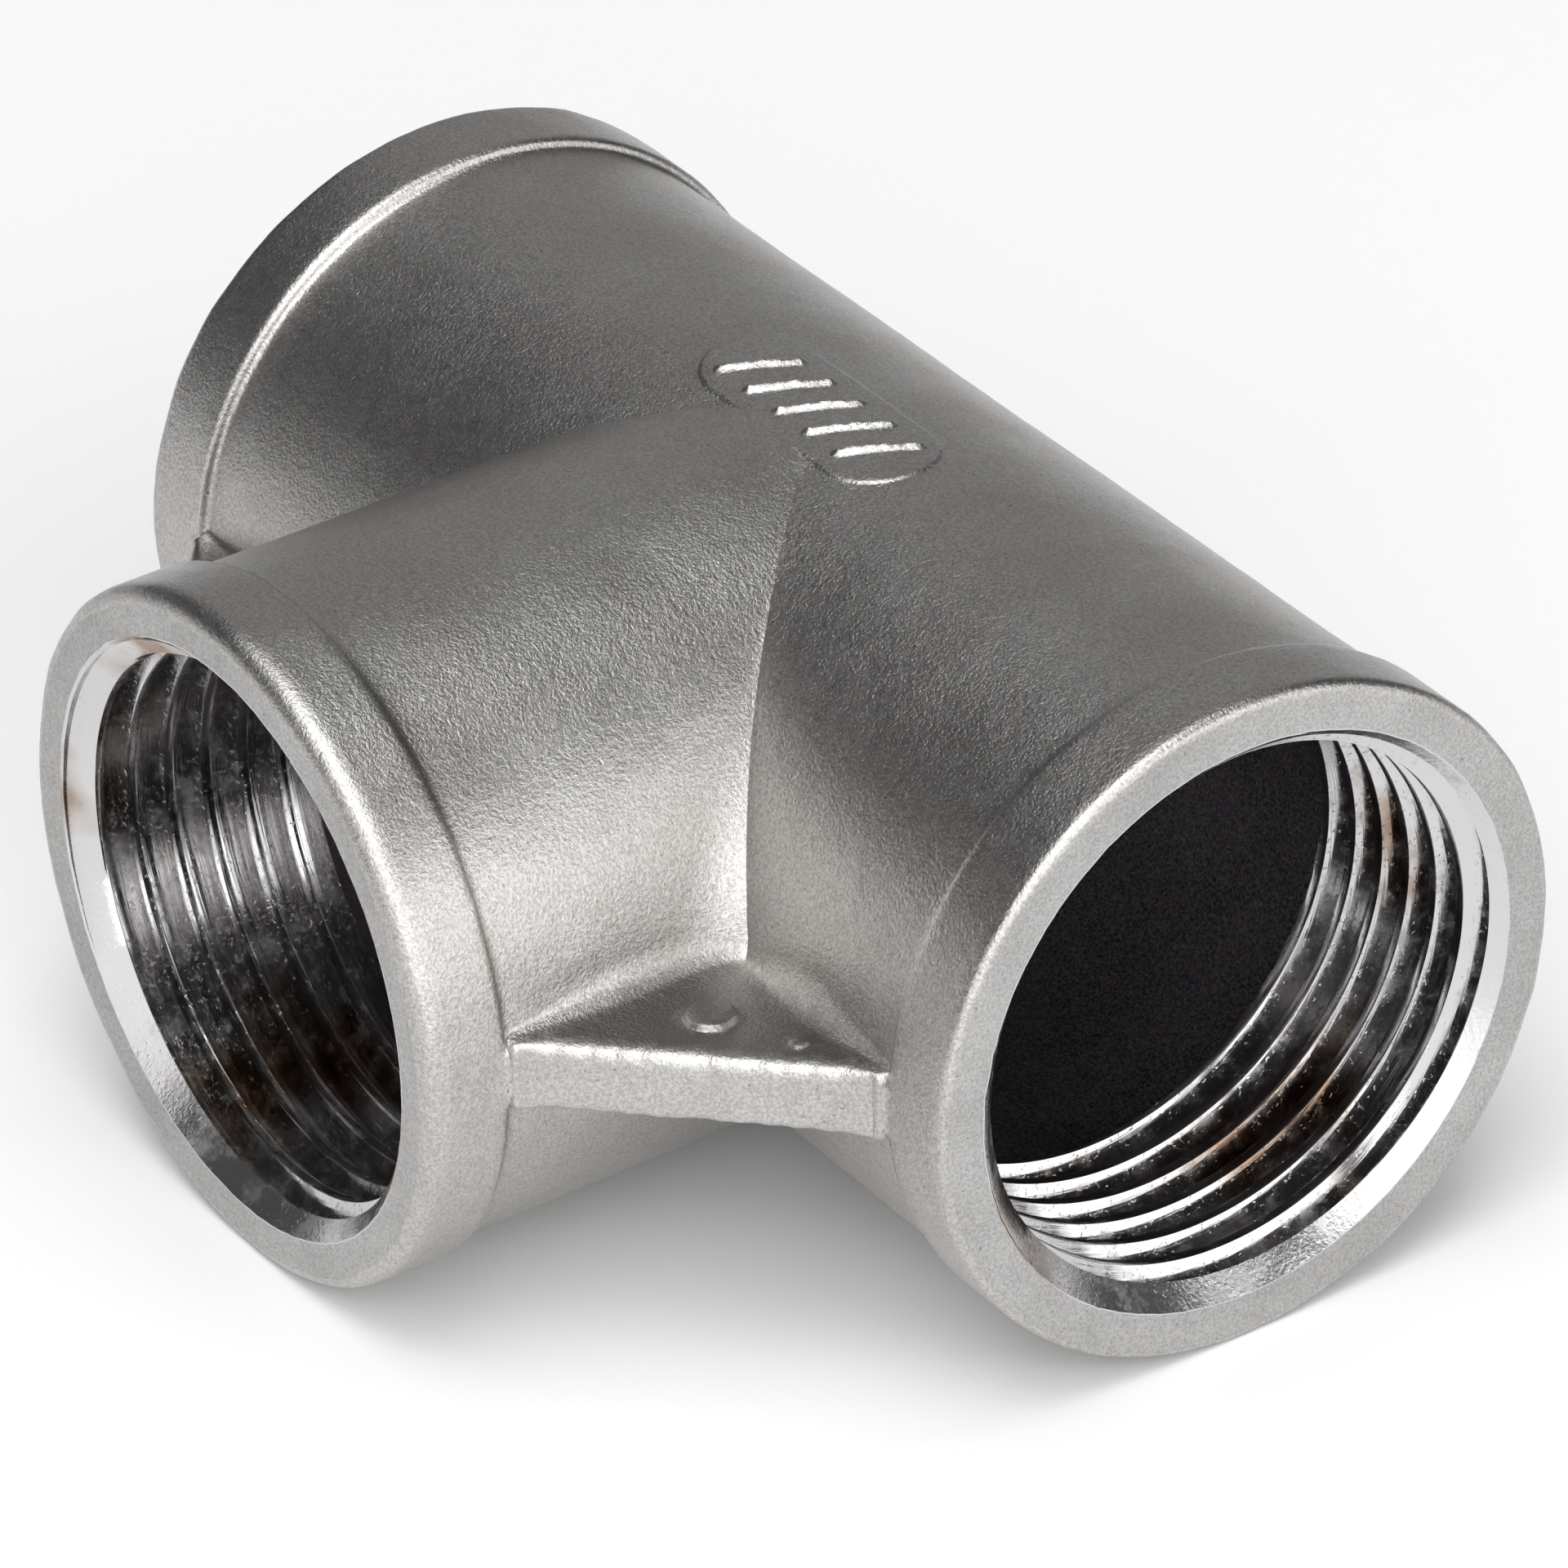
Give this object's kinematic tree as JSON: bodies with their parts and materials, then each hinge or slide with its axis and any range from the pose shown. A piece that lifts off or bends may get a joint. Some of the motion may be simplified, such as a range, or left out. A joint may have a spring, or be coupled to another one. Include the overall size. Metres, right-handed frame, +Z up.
{
  "type": "pipe tee",
  "caption": "Cast stainless equal pipe tee with female pipe threads, banded mouths and flat webs across both crotches.",
  "frame": {"origin": "centre of the bottom of the bounding box, on the surface that the three bands rest on; the axes cross 9.3 mm towards +Y and 19.4 mm up from it", "axes": "+X along the straight run, the branch leaves along -Y, +Z up through the marked side"},
  "size_m": [0.076, 0.0574, 0.0388],
  "materials": {
    "cast_stainless": "fine grit-blasted cast skin, bright cut threads"
  },
  "bodies": {
    "root": {"tee_body": "cast_stainless"}
  },
  "joints": []
}
